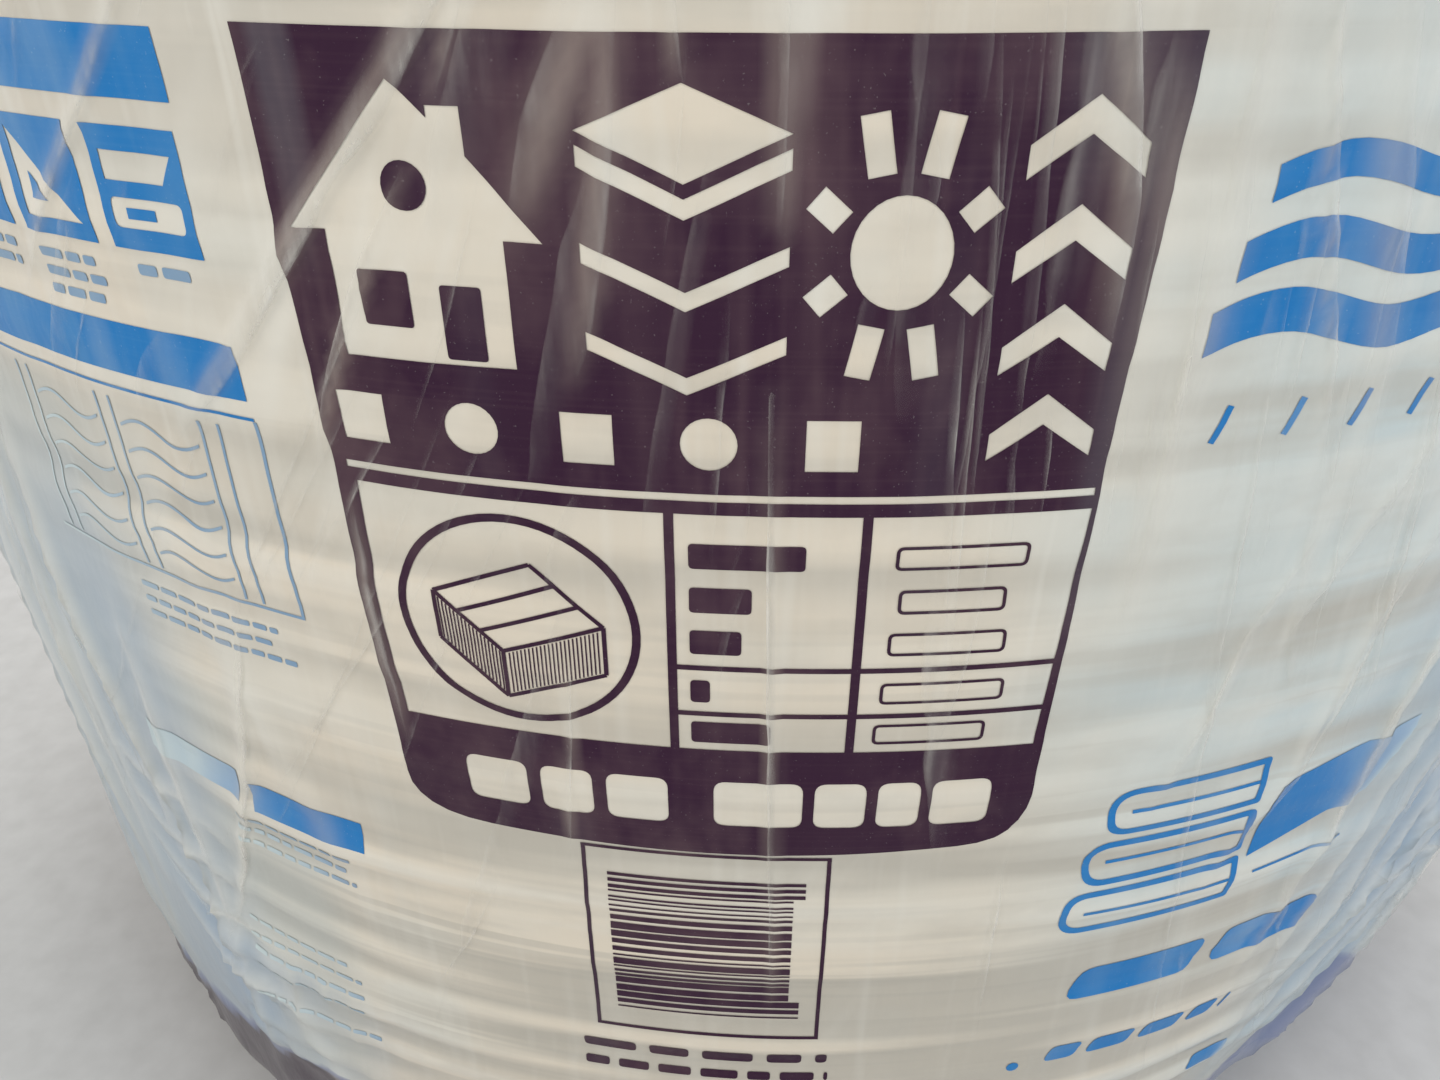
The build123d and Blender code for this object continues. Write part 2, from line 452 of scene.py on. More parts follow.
def film_surface(rows, columns, creases):
    """Places of the film's vertices in mm, with the marks that its finish reads."""
    radius, level, out_r, out_z, gather, curl, tuck = film_profile(rows, columns)
    u = np.broadcast_to(columns, radius.shape)
    lift, mark, ripple, loose = side_lift(u, level, creases)
    broad = PLEATS * u / BAG_RADIUS + 2.8 * edge_noise(u, 150, 21) + 1.5 * edge_noise(u, 60, 22)
    narrow = NARROW_PLEATS * u / BAG_RADIUS + 2.4 * edge_noise(u, 90, 25)
    narrow = narrow + 1.2 * film_noise(u, radius, 60, 40, 27)
    tall = 0.35 + 0.65 * smooth_step(edge_noise(u, 46, 24), -0.6, 0.6)
    near_mouth = smooth_step(gather, 0.5, 0.95)
    wave = 3.4 * tall * ((1 - np.sin(broad)) / 2) ** 2 + 1.3 * near_mouth * ((1 - np.sin(narrow)) / 2) ** 1.5
    wave = gather * (wave + 0.8 * film_noise(u, level + radius, 16, 30, 23))
    away = lift * out_r + np.maximum(wave, 0)
    radius = radius - slack_inset(u, level) * out_r
    turn = u / BAG_RADIUS - (1.3 * tall * gather**1.5 / PLEATS) * np.sin(broad)
    r = radius + out_r * away
    z = np.maximum(level + out_z * away, 0.15) + curl
    wool_level = np.where(level > SIDE_HIGH, WOOL_HIGH - 1.5, WOOL_LOW + 1.5)
    z = z + (wool_level - z) * tuck
    places = np.stack([r * np.sin(turn), -r * np.cos(turn), z], axis=-1)
    marks = {
        "stand_off": np.clip((away - 1.8) / 6, 0, 1),
        "crease": mark,
        # Painted shade in the ripples' hollows and a painted highlight on their crests, with more painted
        # shade towards the bottom; the mark is also a little higher, so darker, over the panel's table
        "ripple": np.clip(0.5 - 0.55 * ripple + 0.14 * fade_out(level, 80, 180), 0, 1),
        "loose": loose * out_r,
        "cool": film_coolness(u, level),
        "milk": film_milk(u, level),
        "band": end_band(u, level),
        "gather": gather,
    }
    return places, marks


ROWS = film_rows()
COLUMNS = film_columns()
FILM, FILM_MARKS = film_surface(ROWS, COLUMNS, [crease[:3] for crease in CREASES] + scattered_creases())
SIDE_ROWS = [i for i, row in enumerate(ROWS) if row[0] == "side"]
SIDE_LEVELS = np.array([ROWS[i][1] for i in SIDE_ROWS])


def film_normals():
    """Outward direction at each of the film's vertices."""
    round_way = np.roll(FILM, -1, axis=1) - np.roll(FILM, 1, axis=1)
    up_way = np.gradient(FILM, axis=0)
    normals = np.cross(round_way, up_way)
    return normals / np.linalg.norm(normals, axis=-1, keepdims=True)


FILM_NORMALS = film_normals()


def side_cell(u, z):
    """Row and column of the side's grid cell that holds each place."""
    i = np.clip(np.searchsorted(SIDE_LEVELS, z, side="right") - 1, 0, len(SIDE_LEVELS) - 2)
    j = np.clip(np.searchsorted(COLUMNS, u, side="right") - 1, 0, len(COLUMNS) - 2)
    return i, j


def within_cell(u, z, i, j):
    """Where places are in that cell, from 0 to 1 along it and up it."""
    along = (u - COLUMNS[j]) / (COLUMNS[j + 1] - COLUMNS[j])
    up = (z - SIDE_LEVELS[i]) / (SIDE_LEVELS[i + 1] - SIDE_LEVELS[i])
    return along, up


def film_cell(u, z):
    """Grid cell in the whole film of places on its side, and where in the cell they are."""
    i, j = side_cell(u, z)
    return i + SIDE_ROWS[0], j, *within_cell(u, z, i, j)


def read_film(values, cell):
    """Value at places in a cell, on the two flat triangles that the film's mesh has there."""
    i, j, fu, fz = cell
    extra = (slice(None),) + (None,) * (values.ndim - 2)
    fu, fz = fu[extra], fz[extra]
    start, far = values[i, j], values[i + 1, j + 1]
    under = start + fu * (values[i, j + 1] - start) + fz * (far - values[i, j + 1])
    over = start + fz * (values[i + 1, j] - start) + fu * (far - values[i + 1, j])
    return np.where(fu >= fz, under, over)


def on_film(cell, height):
    """Places this far off the film, in mm."""
    return read_film(FILM, cell) + np.asarray(height)[..., None] * read_film(FILM_NORMALS, cell)


# Mesh helpers

def mesh_object(name, vertices, faces, smooth=True):
    mesh = bpy.data.meshes.new(name)
    mesh.from_pydata((np.asarray(vertices) * MM).tolist(), [], faces)
    mesh.polygons.foreach_set("use_smooth", [smooth] * len(mesh.polygons))
    mesh.update()
    thing = bpy.data.objects.new(name, mesh)
    bpy.context.scene.collection.objects.link(thing)
    return thing


def add_mark(thing, name, values):
    """Store one value for each vertex, for the material to read."""
    layer = thing.data.attributes.new(name, "FLOAT", "POINT")
    layer.data.foreach_set("value", np.ascontiguousarray(values, dtype=np.float32).ravel())


def grid_triangles(rows, columns, closed_rows=False):
    """Triangles of a grid that closes round its columns, split from the near to the far corner."""
    faces = []
    for i in range(rows if closed_rows else rows - 1):
        up = (i + 1) % rows
        for j in range(columns):
            k = (j + 1) % columns
            a, b = i * columns + j, i * columns + k
            c, d = up * columns + k, up * columns + j
            faces += [(a, b, c), (a, c, d)]
    return faces


def build_film():
    rows, columns = FILM.shape[:2]
    film = mesh_object("film_bag_wrap", FILM.reshape(-1, 3), grid_triangles(rows, columns))
    for name, values in FILM_MARKS.items():
        add_mark(film, name, values)
    return film


def smooth_path(points, step):
    """Evenly spaced places along a soft curve through the points."""
    points = np.array(points, dtype=float)
    padded = np.vstack([2 * points[0] - points[1], points, 2 * points[-1] - points[-2]])
    path = []
    for a, b, c, d in zip(padded, padded[1:], padded[2:], padded[3:]):
        count = max(2, int(np.linalg.norm(c - b) / step))
        for t in np.linspace(0, 1, count, endpoint=False):
            path.append(0.5 * (2 * b + (c - a) * t + (2 * a - 5 * b + 4 * c - d) * t**2
                               + (3 * b - a - 3 * c + d) * t**3))
    return np.array(path + [points[-1]])


def fine_lines():
    """Straight fine folds all round, as (places, width, density). They lean as the film is pulled."""
    draw = np.random.default_rng(57)
    lines = []
    for number in range(340):
        front = number < 130
        u = draw.uniform(-190, 190) if front else draw.uniform(200, ROUND - 200)
        z = draw.uniform(235, 330) if front and number < 95 else draw.uniform(90, 330)
        length = draw.exponential(34) + 12
        lean = np.interp(wrap_round(u), *zip(*FINE_LEAN))
        lean = lean + draw.normal(0, 0.05 if front else 0.25)
        stop = max(z - length, SIDE_LOW + 4)
        middle = (u - lean * (z - stop) / 2 + draw.normal(0, 1.0), (z + stop) / 2)
        end = (u - lean * (z - stop), stop)
        wide = draw.uniform(2.4, 7) if number % 3 == 0 else draw.uniform(0.5, 2.2)
        density = draw.uniform(0.12, 0.36) if wide > 2.2 else draw.uniform(0.1, 0.6)
        lines.append(([(u, z), middle, end], wide, density))
    return lines


def build_folds():
    """Narrow folds that lie on the film: dense at one edge, thinning out to clear at the other; pale as
    doubled film, with a painted highlight along the dense edge.
    """
    vertices, faces, veils_and_sheen = [], [], []
    lying = [(points, width, density) for points, _, _, width, density in CREASES if width]
    for number, (points, width, density) in enumerate(lying + fine_lines()):
        path = smooth_path(points, 1.6)
        path = path[(path[:, 1] > SIDE_LOW + 1) & (path[:, 1] < SIDE_HIGH - 2)]
        if len(path) < 6:
            continue
        run = np.gradient(path, axis=0)
        run /= np.linalg.norm(run, axis=1, keepdims=True)
        path_u, path_z = path.T
        count = len(path)
        share = np.linspace(0, 1, count)
        open_top = points[0][1] > SIDE_HIGH - 2
        fade = np.clip((1 - share) * 2.5, 0, 1) * (1 if open_top else np.clip(share * 4, 0, 1))
        wobble = 1 + 0.25 * edge_noise(path_z * 7 + 40 * number, 60, 61)
        uneven = np.clip(0.8 + 0.5 * edge_noise(path_z * 20 + 90 * number, 60, 62), 0.2, 1)
        loose = loose_folds(path_u, path_z)[1]
        dense = density * fade * uneven
        dense = dense * (1 - 0.55 * loose) * (1 - 0.38 * smooth_step(path_z, 250, 300))
        way = -1 if number % 3 == 1 else 1
        start = len(vertices)
        for across, tall, veil_and_sheen in FOLD_SECTION:
            sideways = way * across * width * wobble * (0.5 + 0.5 * fade)
            u = (path_u - run[:, 1] * sideways + FRONT_REACH) % ROUND - FRONT_REACH
            z = path_z + run[:, 0] * sideways
            vertices += on_film(film_cell(u, z), 0.22 + 0.8 * min(width, 2.5) * tall * fade).tolist()
            veils_and_sheen += (veil_and_sheen * dense).tolist()
        for s in range(len(FOLD_SECTION) - 1):
            for k in range(count - 1):
                a = start + s * count + k
                ring = (a, a + 1, a + 1 + count, a + count)
                faces.append(ring if way > 0 else ring[::-1])
    thing = mesh_object("film_bag_folds", vertices, faces)
    add_mark(thing, "veil_and_sheen", veils_and_sheen)
    return thing


# Print on the film: shapes of closed loops in mm, filled where a place is in an odd number of them

def between(start, end, share):
    """Place at this share of the way from one place to another."""
    return tuple(a + (b - a) * share for a, b in zip(start, end))


def box(left, right, low, high):
    return [(left, low), (right, low), (right, high), (left, high)]


def oval(u, z, across, up, steps=44):
    turns = [2 * math.pi * k / steps for k in range(steps)]
    return [(u + across * math.cos(t), z + up * math.sin(t)) for t in turns]


def bar(start, end, thickness):
    """A straight bar with square ends."""
    du, dz = end[0] - start[0], end[1] - start[1]
    length = math.hypot(du, dz)
    nu, nz = -dz / length * thickness / 2, du / length * thickness / 2
    return [(start[0] + nu, start[1] + nz), (start[0] - nu, start[1] - nz),
            (end[0] - nu, end[1] - nz), (end[0] + nu, end[1] + nz)]


def rounded(points, radius, steps=6):
    """A closed outline with its corners rounded; a corner may have a radius of its own."""
    radii = radius if isinstance(radius, (list, tuple)) else [radius] * len(points)
    loop = []
    for k, corner in enumerate(points):
        before, after = points[k - 1], points[(k + 1) % len(points)]
        if radii[k] == 0:
            loop.append(corner)
            continue
        starts = []
        for other in (before, after):
            reach = min(radii[k] / math.dist(corner, other), 0.49)
            starts.append(between(corner, other, reach))
        for s in range(steps + 1):
            t = s / steps
            loop.append(tuple((1 - t) ** 2 * a + 2 * t * (1 - t) * c + t**2 * b
                              for a, c, b in zip(starts[0], corner, starts[1])))
    return loop


def rounded_box(left, right, low, high, radius):
    return rounded(box(left, right, low, high), radius)


def frame_box(left, right, low, high, stroke, radius=0.0):
    """Outline of a box, as a shape of two loops."""
    inner = (left + stroke, right - stroke, low + stroke, high - stroke)
    if radius:
        return [rounded_box(left, right, low, high, radius), rounded_box(*inner, max(radius - stroke, 0.1))]
    return [box(left, right, low, high), box(*inner)]


def wave_band(left, right, z, thickness, swing, slant=0.0, steps=18):
    """A thick band that waves once, its ends cut upright."""
    upper, lower = [], []
    for k in range(steps + 1):
        t = k / steps
        u = left + (right - left) * t
        middle = z + swing * math.sin(2 * math.pi * t) + slant * (u - left)
        upper.append((u, middle + thickness / 2))
        lower.append((u, middle - thickness / 2))
    return lower + upper[::-1]


def greeked_rows(left, right, lines, seed, slant=0.0, gap=2.6):
    """Rows of short blocks in place of writing; a line is (height of its middle, thickness)."""
    draw = np.random.default_rng(seed)
    shapes = []
    for z, thickness in lines:
        u = left
        stop = right - draw.uniform(0, 0.2) * (right - left)
        while u < stop:
            length = min(draw.uniform(2.2, 7.0) * thickness / 2.2 + 1.2, stop - u)
            if length > 0.8:
                low, high = z - thickness / 2, z + thickness / 2
                lean = slant * thickness
                block = [(u, low), (u + length, low), (u + length + lean, high), (u + lean, high)]
                shapes.append([rounded(block, thickness * 0.3, 3)])
            u += length + gap * thickness / 3
    return shapes


# The dark panel on the front

def house_motif():
    walls = [(-61, 263), (-35, 263), (-35, 281), (-29.5, 281), (-39, 291.5), (-39, 297.5), (-43.5, 297.5),
             (-43.5, 296), (-48, 300.5), (-66.0, 281), (-61, 281)]
    door = rounded_box(-45, -39, 263.8, 274.5, 0.6)
    window = rounded_box(-57, -49.5, 268, 276, 0.6)
    attic = oval(-48, 287.5, 3.2, 3.2, 24)
    return [walls, door, window, attic]


def layers_motif():
    """Three slabs on top of each other, seen from one corner."""
    shapes = []
    for level in (293.5, 281.5, 269.5):
        shapes.append([(-24.5, level), (-11.0, level - 6.3), (2.5, level), (2.5, level - 2.6),
                       (-11.0, level - 8.9), (-24.5, level - 2.6)])
    shapes.append([(-24.5, 295.2), (-11.0, 289.0), (2.5, 295.2), (-11.0, 300.8)])
    return shapes


def sun_motif():
    centre, shapes = (16.8, 280.6), []
    shapes.append(oval(*centre, 6.6, 7.4, 32))
    for k in range(8):
        turn = math.pi * k / 4 + math.pi / 8
        near = (centre[0] + 8.4 * math.cos(turn), centre[1] + 10.4 * math.sin(turn))
        far = (centre[0] + 12.2 * math.cos(turn), centre[1] + 18.4 * math.sin(turn))
        shapes.append(bar(near, far, 3.6))
    return shapes


def chevron_column():
    shapes = []
    for low in (250.5, 263.5, 276.5, 289.5):
        under = [(31.5, low), (39.2, low + 5.4), (46.9, low)]
        over = [(46.9, low + 4.2), (39.2, low + 10.0), (31.5, low + 4.2)]
        shapes.append(under + over)
    return shapes


def mark_row():
    """Squares and discs by turns."""
    shapes = []
    for k, u in enumerate((-60.5, -43.0, -25.5, -8.0, 9.5)):
        shapes.append(box(u - 3.8, u + 3.8, 249.2, 257.2) if k % 2 == 0 else oval(u, 253.2, 4.1, 4.1, 28))
    return shapes


def table_cells():
    """Pale cells of the panel's table, each an outline with sharp corners."""
    base, top, slant = 195.8, 241.8, 0.04
    cells = [[(-64.0, top), (-14.8, top), (-14.8, base), (-62.6, base), (-64.2, 214)]]
    for low, high in ((213.9, top), (204.3, 212.9), (base, 203.3)):
        cells.append(box(-13.3, 14.6, low, high))
        right_side = [(47.1 + (z - base) * slant, z) for z in (low, high)]
        cells.append([(16.1, low)] + right_side + [(16.1, high)])
    return cells


def slab_picture():
    """A ring with a block drawn in lines inside it, its lower faces hatched."""
    u, z = -39.6, 218.9
    shapes = [[oval(u, z, 20.6, 20.4, 64), oval(u, z, 19.2, 19.0, 64)]]
    left, right, near = (-53.5, 223.5), (-25.0, 220.0), (-42.5, 213.0)
    far = (-36.5, 230.5)
    drop = 9.5
    corners = {"left": left, "right": right, "near": near, "far": far}
    low = {name: (p[0], p[1] - drop) for name, p in corners.items()}
    lines = [(left, near), (near, right), (right, far), (far, left), (left, low["left"]), (near, low["near"]),
             (right, low["right"]), (low["left"], low["near"]), (low["near"], low["right"])]
    for share in (0.33, 0.66):
        lines.append((between(left, near, share), between(far, right, share)))
    shapes += [[bar(a, b, 0.75)] for a, b in lines]
    for a, b, step in ((left, near, 0.055), (near, right, 0.04)):
        for share in np.arange(0.06, 0.96, step):
            top_u, top_z = between(a, b, share)
            shapes.append([bar((top_u, top_z - 0.6), (top_u, top_z - drop + 0.6), 0.26)])
    return shapes


def bottom_marks():
    """Blocks in a row along the panel's foot."""
    shapes, u = [], -52.5
    for width, gap in ((11.5, 2.5), (9.5, 2.5), (11.0, 8.0), (15.5, 2.0), (9.0, 2.0), (7.5, 2.0), (10.5, 0)):
        shapes.append(rounded_box(u, u + width, 178.0, 188.6, 2.2))
        u += width + gap
    return shapes


def panel_print():
    outline = rounded(
        [(-69.5, 306.2), (-69.3, 277.5), (-67.7, 245), (-67.2, 214), (-65.4, 190), (-65.5, 171.5),
         (0, 169.8), (48.6, 172.6), (48.9, 195), (49.9, 250), (51.3, 306.2)],
        [0, 3, 3, 3, 6, 16, 30, 12, 3, 3, 0])
    rule = box(-65.4, 48.9, 244.0, 245.2)
    pale = [rule] + house_motif() + layers_motif() + sun_motif() + chevron_column() + mark_row()
    pale += table_cells() + bottom_marks()
    return [[outline] + pale] + slab_picture() + table_entries()


def table_entries():
    """A dark block and an open frame in each row of the panel's table."""
    rows = [(234.5, 6.5, 20.0, 40.5), (226.5, -1.5, 21.0, 38.0), (218.5, -3.0, 20.0, 39.0),
            (208.6, -8.0, 19.5, 40.0), (199.7, 2.0, 19.0, 38.0)]
    blocks = [[rounded_box(-11.2, stop, z - 2.3, z + 2.3, 0.8)] for z, stop, _, _ in rows]
    frames = [frame_box(start, stop, z - 2.2, z + 2.2, 0.55, 1.2) for z, _, start, stop in rows]
    return blocks + frames


def stripe_code():
    """A framed block of level stripes in an arbitrary order, with no digits."""
    shapes = [frame_box(-32.5, 14.0, 115.5, 169.8, 0.8)]
    draw = np.random.default_rng(77)
    z = 121.9
    while z < 162.6:
        thick = float(draw.choice([0.45, 0.9, 1.35, 1.8]))
        stop = 7.4 if 127 < z < 158 else 9.6
        shapes.append([box(-27.8, stop, z, min(z + thick, 163.5))])
        z += thick + float(draw.choice([0.45, 0.7, 1.0]))
    shapes += greeked_rows(-36.0, 21.0, [(108.6, 3.4), (102.2, 2.4)], 78)
    return shapes


# The blue print on both sides of the panel

def picture_square(left, motif):
    """A blue square with a motif left open in its middle."""
    return [box(left, left + 18.0, 274.4, 292.2)] + motif(left + 9.0, 283.3)


def can_motif(u, z):
    """A can with its lid."""
    return [rounded([(u - 5.5, z - 7), (u + 5.5, z - 7), (u + 6.2, z + 3), (u - 6.2, z + 3)], 1.0),
            box(u - 7, u + 7, z + 4, z + 6.2)]


def set_square_motif(u, z):
    """A set square, open in its middle."""
    outer = [(u - 6.4, z - 6.2), (u + 7.0, z - 6.2), (u - 6.4, z + 7.0)]
    inner = [(u - 3.4, z - 3.4), (u + 0.6, z - 3.4), (u - 3.4, z + 0.6)]
    return [outer, inner]


def blade_motif(u, z):
    """A knife's blade over its sheath."""
    return [[(u - 7, z + 1.2), (u + 4.5, z + 1.2), (u + 7.2, z + 5.4), (u - 7, z + 5.4)],
            rounded_box(u - 7, u + 7.2, z - 5.6, z - 1.2, 1.2), box(u - 4, u + 1.5, z - 4.2, z - 2.6)]


def left_print():
    """Bands and a row of picture squares."""
    left_end = -196.0
    shapes = [[box(left_end, -82.4, 295.9, 305.2)], [box(left_end, -81.6, 252.6, 261.7)],
              [box(left_end, -81.3, 249.1, 249.7)]]
    for left, motif in ((-101.2, blade_motif), (-123.0, set_square_motif), (-144.8, can_motif),
                        (-166.6, blade_motif), (-188.4, set_square_motif)):
        shapes.append(picture_square(left, motif))
    return shapes + [[box(-143.5, -112.2, 155.6, 163.4)], [box(-108.8, -80.0, 153.6, 161.4)]]


def faint_rows(first_seed, blocks):
    """Blocks of the finest rows, each as (left, right, thickness, heights of its rows)."""
    shapes = []
    for seed, (left, right, thickness, levels) in enumerate(blocks, first_seed):
        shapes += greeked_rows(left, right, [(z, thickness) for z in levels], seed, 0, 2.0)
    return shapes


def faint_print():
    """The finest print, which looks pale: captions, a line picture and notes."""
    captions = [(-97.5, -86.0, 1.7, [271.4]), (-121.0, -104.0, 1.5, [271.2, 268.2, 265.2]),
                (-142.0, -128.0, 1.5, [271.2, 268.2])]
    notes = [(-124.0, -82.0, 1.2, [206.6, 203.2, 199.8]), (-117.0, -84.0, 1.2, [149.0, 145.6, 142.2]),
             (-124.0, -88.0, 1.2, [112.0, 107.0, 102.0, 97.0, 88.0])]
    return faint_rows(81, captions) + wall_picture() + faint_rows(84, notes)


def wall_picture():
    """A framed line picture: three upright studs with a waving batt between them."""
    shapes = [[box(-81.7, -81.0, 211.5, 249.0)], [box(-150.0, -81.0, 210.9, 211.5)]]
    for middle in (-144.0, -118.0, -92.0):
        for u in (middle - 2.0, middle + 2.0):
            shapes.append([bar((u, 212), (u, 247), 0.6)])
    for left in (-140.5, -114.5):
        for z in np.arange(216.0, 245.0, 5.2):
            shapes.append([wave_band(left, left + 19.0, z, 0.6, 1.5)])
    return shapes


def right_print():
    """Waves, slanted strokes, a folded stack and blocks in place of large writing."""
    shapes = []
    for k, z in enumerate((268.0, 278.0, 288.0)):
        shapes.append([wave_band(60.5 + 2.5 * k, 104.0 + 2.5 * k, z, 6.4 - 0.8 * k, 2.4, 0.03)])
    for u in (66.0, 78.5, 90.5, 102.5, 114.5):
        shapes.append([bar((u, 250.8), (u + 2.0, 256.6), 1.1)])
    shapes += folded_stack()
    shapes.append([[(101.5, 153.5), (104.0, 172.5), (139.5, 178.5), (132.0, 160.5)]])
    shapes += greeked_rows(66.0, 131.0, [(125.6, 9.6)], 91, 0.32, 1.6)
    shapes += greeked_rows(65.0, 118.0, [(102.0, 5.2)], 92, 0.32, 1.6)
    shapes += greeked_rows(110.0, 128.0, [(75.5, 5.0)], 93, 0.32, 1.6)
    shapes.append([oval(58.0, 99.5, 1.4, 1.4, 16)])
    shapes.append([bar((104.0, 148.8), (128.0, 149.6), 0.7)])
    return shapes


def folded_stack():
    """Outlines of three folded lengths, one on another, each with a round fold at its left."""
    shapes = []
    for low, left in ((143.0, 60.0), (156.2, 62.5), (169.4, 65.0)):
        outer = rounded(box(left, 99.5, low, low + 11.6), [5.6, 1.0, 1.0, 5.6], 8)
        inner = rounded(box(left + 1.5, 98.0, low + 1.5, low + 10.1), [4.2, 0.4, 0.4, 4.2], 8)
        shapes.append([outer, inner])
        shapes.append([bar((left + 5.0, low + 5.8), (97.9, low + 5.8), 0.8)])
    return shapes


def in_loop(loop, u, z):
    """Whether each place is in the loop, counting the loop's edges to its right."""
    points = np.array(loop)
    after = np.roll(points, -1, axis=0)
    inside = np.zeros(len(u), dtype=bool)
    for (u0, z0), (u1, z1) in zip(points, after):
        if z0 != z1:
            crosses = (z0 > z) != (z1 > z)
            inside ^= crosses & (u < u0 + (z - z0) * (u1 - u0) / (z1 - z0))
    return inside


def fill_shapes(shapes):
    """Flat triangles that fill the shapes."""
    points, edges = [], []
    for shape in shapes:
        for loop in shape:
            first = len(points)
            points += [Vector(p) for p in loop]
            edges += [(first + k, first + (k + 1) % len(loop)) for k in range(len(loop))]
    made, _, triangles, _, _, _ = delaunay_2d_cdt(points, edges, [], 0, 1e-5)
    corners = np.array([tuple(p) for p in made])[np.array(triangles)]
    middle = corners.mean(axis=1)
    keep = np.zeros(len(corners), dtype=bool)
    for shape in shapes:
        odd = np.zeros(len(corners), dtype=bool)
        for loop in shape:
            odd ^= in_loop(loop, middle[:, 0], middle[:, 1])
        keep |= odd
    return corners[keep]


def split(polygon, heights):
    """The parts of a convex polygon where these values, one to a corner, are below and above 0."""
    below, above = [], []
    count = len(polygon)
    for k in range(count):
        p, q = polygon[k], polygon[(k + 1) % count]
        a, b = heights[k], heights[(k + 1) % count]
        if a <= 0:
            below.append(p)
        if a >= 0:
            above.append(p)
        if a * b < 0:
            cut = between(p, q, a / (a - b))
            below.append(cut)
            above.append(cut)
    return below, above


def slice_by(polygon, axis, lines):
    """Cut a convex polygon by each of the lines across one axis that pass through it."""
    values = [p[axis] for p in polygon]
    first = np.searchsorted(lines, min(values), side="right")
    last = np.searchsorted(lines, max(values), side="left")
    parts = []
    for line in lines[first:last]:
        low, polygon = split(polygon, [p[axis] - line for p in polygon])
        parts.append(low)
        if len(polygon) < 3:
            break
    parts.append(polygon)
    return [part for part in parts if len(part) > 2]


def polygon_area(polygon):
    return abs(sum(p[0] * q[1] - q[0] * p[1] for p, q in zip(polygon, polygon[1:] + polygon[:1]))) / 2


def cut_to_film(polygon):
    """The parts of a convex polygon on each of the film's own triangles, without slivers."""
    parts = []
    for column in slice_by(polygon, 0, COLUMNS):
        for piece in slice_by(column, 1, SIDE_LEVELS):
            u, z = np.array(piece).T
            along, up = within_cell(u, z, *side_cell(u.mean(), z.mean()))
            halves = [half for half in split(piece, along - up) if len(half) > 2]
            parts += [half for half in halves if polygon_area(half) >= LEAST_AREA]
    return parts


def joined_face(part, vertices, known):
    """The part as a face of shared vertices. New ones are added to both of the lists."""
    face = []
    for place in part:
        key = (round(place[0], 4), round(place[1], 4))
        if key not in known:
            known[key] = len(vertices)
            vertices.append(place)
        if not face or face[-1] != known[key]:
            face.append(known[key])
    if face[0] == face[-1]:
        face.pop()
    return face


def build_print(name, shapes, shift):
    """Print of one ink, laid on the film's own triangles and cut where they meet."""
    vertices, faces, known = [], [], {}
    for triangle in fill_shapes(shapes):
        for part in cut_to_film([(float(u) + shift, float(z)) for u, z in triangle]):
            face = joined_face(part, vertices, known)
            if len(face) > 2:
                faces.append(face)
    cell = film_cell(*np.array(vertices).T)
    ink = mesh_object(name, on_film(cell, INK_HEIGHT), faces)
    for mark in ("crease", "milk"):
        add_mark(ink, mark, read_film(FILM_MARKS[mark], cell))
    return ink


# The wound batt

def cleft_distance(x, y):
    """Distance in mm from the winding's spiral line, made of half circles as on the real ends."""
    rear, front = np.hypot(x, y), np.hypot(x - HALF_TURN, y)
    rear = np.abs((rear - EYE_RADIUS + HALF_TURN) % (2 * HALF_TURN) - HALF_TURN)
    front = np.abs((front - EYE_RADIUS) % (2 * HALF_TURN) - HALF_TURN)
    return np.where(y > 0, rear, front)


def plane_noise(x, y, size, seed):
    """Noise on a plane, with features of about this size in mm."""
    cells, ahead = 255, 4000
    return value_noise(x / size + ahead, y / size + ahead, cells, seed)


def end_relief(x, y, radius, seed):
    """Height of an end's surface over its flat, in mm: crowned turns with clefts between them."""
    away = cleft_distance(x + 1.5 * plane_noise(x, y, 60, seed), y + 1.5 * plane_noise(x, y, 60, seed + 1))
    depth = CLEFT_DEPTH * (0.75 + 0.35 * plane_noise(x, y, 45, seed + 2))
    cleft = -depth * np.exp(-((away / 3.0) ** 2)) - 1.6 * np.exp(-((away / 8.0) ** 2))
    tufts = 0.9 * plane_noise(x, y, 11, seed + 3) + 0.7 * plane_noise(x, y, 5, seed + 4)
    return (cleft + tufts) * smooth_step(radius, EYE_RADIUS + 1, EYE_RADIUS + 9)


def wool_profile():
    """Rows of the roll's section, from the eye over the top end, down the side and back."""
    bore = np.linspace(WOOL_LOW + 5, WOOL_HIGH - 5, 22)
    ends = np.linspace(0, 1, 84)[:-1]
    rows = [("bore", EYE_RADIUS, z) for z in bore]
    rows += [("top", t, WOOL_HIGH) for t in ends]
    rows += [("upper_round", t, 0) for t in np.linspace(0, 1, 9)]
    rows += [("side", WOOL_RADIUS, z) for z in np.linspace(WOOL_HIGH - 44, WOOL_LOW + 60, 14)]
    rows += [("lower_round", t, 0) for t in np.linspace(0, 1, 9)]
    rows += [("bottom", t, WOOL_LOW) for t in ends[::-1]]
    return rows


